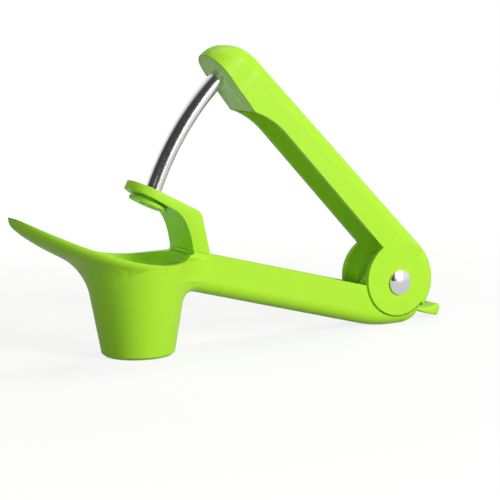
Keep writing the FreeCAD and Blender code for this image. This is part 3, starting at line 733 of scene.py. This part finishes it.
def larger(tree, first, second):
    """The larger of two values."""
    node = add(tree, "ShaderNodeMath", operation="MAXIMUM")
    tree.links.new(first, node.inputs[0])
    tree.links.new(second, node.inputs[1])
    return node.outputs[0]


def chosen(tree, share, first, second):
    """Goes from one shader to another with a share."""
    mix = add(tree, "ShaderNodeMixShader")
    tree.links.new(share, mix.inputs[0])
    tree.links.new(first.outputs[0], mix.inputs[1])
    tree.links.new(second.outputs[0], mix.inputs[2])
    return mix


def studio_world():
    """White to the eye, a low green-white fill on matt surfaces, and half dim in mirrors."""
    world = bpy.data.worlds.new("studio")
    bpy.context.scene.world = world
    world.use_nodes = True
    tree = world.node_tree
    tree.nodes.clear()
    out = add(tree, "ShaderNodeOutputWorld")
    fill = background(tree, FILL_COLOUR, FILL)
    seen = background(tree, WHITE, 1.0)
    mirrored = background(tree, WHITE, 1.0)
    # The side of the room behind the camera is dim, and only shiny surfaces show it.
    place = add(tree, "ShaderNodeTexCoord")
    toward = add(tree, "ShaderNodeVectorMath", operation="DOT_PRODUCT")
    toward.inputs[1].default_value = DIM_SIDE
    tree.links.new(place.outputs["Generated"], toward.inputs[0])
    dimming = remapped(tree, toward.outputs["Value"], DIM_SPAN, DIM_LEVELS, "SMOOTHSTEP")
    tree.links.new(dimming, mirrored.inputs["Strength"])
    path = add(tree, "ShaderNodeLightPath")
    shiny = larger(tree, path.outputs["Is Glossy Ray"], path.outputs["Is Transmission Ray"])
    unseen = chosen(tree, shiny, fill, mirrored)
    whole = chosen(tree, path.outputs["Is Camera Ray"], unseen, seen)
    tree.links.new(whole.outputs[0], out.inputs["Surface"])


def floor_glow(tree):
    """Strength of the floor's white: for the eye, through glass and, less, in mirrors."""
    path = add(tree, "ShaderNodeLightPath")
    mirrored = add(tree, "ShaderNodeMath", operation="MULTIPLY")
    mirrored.inputs[1].default_value = FLOOR_IN_MIRROR
    tree.links.new(path.outputs["Is Glossy Ray"], mirrored.inputs[0])
    seen = larger(tree, path.outputs["Is Camera Ray"], mirrored.outputs[0])
    seen = larger(tree, seen, path.outputs["Is Transmission Ray"])
    # Away from the tool, where the lamps fade, the floor glows into the white of the world.
    place = add(tree, "ShaderNodeTexCoord")
    away = add(tree, "ShaderNodeVectorMath", operation="LENGTH")
    tree.links.new(place.outputs["Object"], away.inputs[0])
    level = remapped(tree, away.outputs["Value"], FLOOR_SPAN, FLOOR_LEVELS, "SMOOTHSTEP")
    glow = add(tree, "ShaderNodeMath", operation="MULTIPLY")
    tree.links.new(seen, glow.inputs[0])
    tree.links.new(level, glow.inputs[1])
    return glow.outputs[0]


def studio_floor():
    """Wide floor that is white to the eye and keeps the tool's shadow."""
    mesh = bpy.data.meshes.new("studio_floor")
    form = bmesh.new()
    bmesh.ops.create_grid(form, x_segments=1, y_segments=1, size=sizes().floor)
    form.to_mesh(mesh)
    form.free()
    floor = bpy.data.objects.new("studio_floor", mesh)
    bpy.context.scene.collection.objects.link(floor)
    material = bpy.data.materials.new("studio_floor_white")
    material.use_nodes = True
    tree = material.node_tree
    tree.nodes.clear()
    out = add(tree, "ShaderNodeOutputMaterial")
    matt = add(tree, "ShaderNodeBsdfDiffuse", Color=(FLOOR_MATT, FLOOR_MATT, FLOOR_MATT, 1.0))
    glow = add(tree, "ShaderNodeEmission")
    tree.links.new(floor_glow(tree), glow.inputs["Strength"])
    both = add(tree, "ShaderNodeAddShader")
    tree.links.new(matt.outputs[0], both.inputs[0])
    tree.links.new(glow.outputs[0], both.inputs[1])
    tree.links.new(both.outputs[0], out.inputs["Surface"])
    mesh.materials.append(material)


def studio_camera():
    """Camera low in front of the tool and to its left, a little rolled."""
    s = sizes()
    back = Vector((math.sin(CAMERA_TURN) * math.cos(CAMERA_RISE),
                   -math.cos(CAMERA_TURN) * math.cos(CAMERA_RISE), math.sin(CAMERA_RISE)))
    right = Vector((math.cos(CAMERA_TURN), math.sin(CAMERA_TURN), 0.0))
    up = back.cross(right)
    side = right * math.cos(CAMERA_ROLL) + up * math.sin(CAMERA_ROLL)
    top = up * math.cos(CAMERA_ROLL) - right * math.sin(CAMERA_ROLL)
    place = CAMERA_TARGET + back * s.distance
    data = bpy.data.cameras.new("studio_camera")
    data.lens = s.lens
    data.sensor_width = SENSOR_WIDTH
    data.clip_end = SIGHT_END
    camera = bpy.data.objects.new("studio_camera", data)
    turn = Matrix((side, top, back)).transposed().to_4x4()
    camera.matrix_world = Matrix.Translation(place) @ turn
    bpy.context.scene.collection.objects.link(camera)
    bpy.context.scene.camera = camera


class PITTER_OT_stage(bpy.types.Operator):
    """Build the floor, the lamps, the world and the camera"""
    bl_idname = "pitter.stage"
    bl_label = "Stage"

    def execute(self, context):
        context.scene.view_settings.view_transform = "Standard"
        studio_floor()
        studio_world()
        for lamp in LAMPS:
            softbox(*lamp)
        studio_camera()
        return {"FINISHED"}


class PITTER_PT_panel(bpy.types.Panel):
    """Lists the steps that dress the tool, and its colours and sizes."""
    bl_idname = "PITTER_PT_panel"
    bl_label = "Cherry pitter"
    bl_space_type = "VIEW_3D"
    bl_region_type = "UI"
    bl_category = "Cherry pitter"

    def draw(self, context):
        for step in STEPS:
            self.layout.operator(step.bl_idname)
        for group in (context.scene.pitter_colours, context.scene.pitter_sizes):
            for name in group.__annotations__:
                self.layout.prop(group, name)


STEPS = (PITTER_OT_lower_body, PITTER_OT_guide, PITTER_OT_lever, PITTER_OT_rod, PITTER_OT_hinge,
         PITTER_OT_lock, PITTER_OT_stage)
CLASSES = (PitterColours, PitterSizes) + STEPS + (PITTER_PT_panel,)


def register():
    for kind in CLASSES:
        bpy.utils.register_class(kind)
    bpy.types.Scene.pitter_colours = bpy.props.PointerProperty(type=PitterColours)
    bpy.types.Scene.pitter_sizes = bpy.props.PointerProperty(type=PitterSizes)


def unregister():
    del bpy.types.Scene.pitter_sizes
    del bpy.types.Scene.pitter_colours
    for kind in reversed(CLASSES):
        bpy.utils.unregister_class(kind)


def main():
    register()
    for step in STEPS:
        group, name = step.bl_idname.split(".")
        getattr(getattr(bpy.ops, group), name)()


if __name__ == "__main__":
    main()
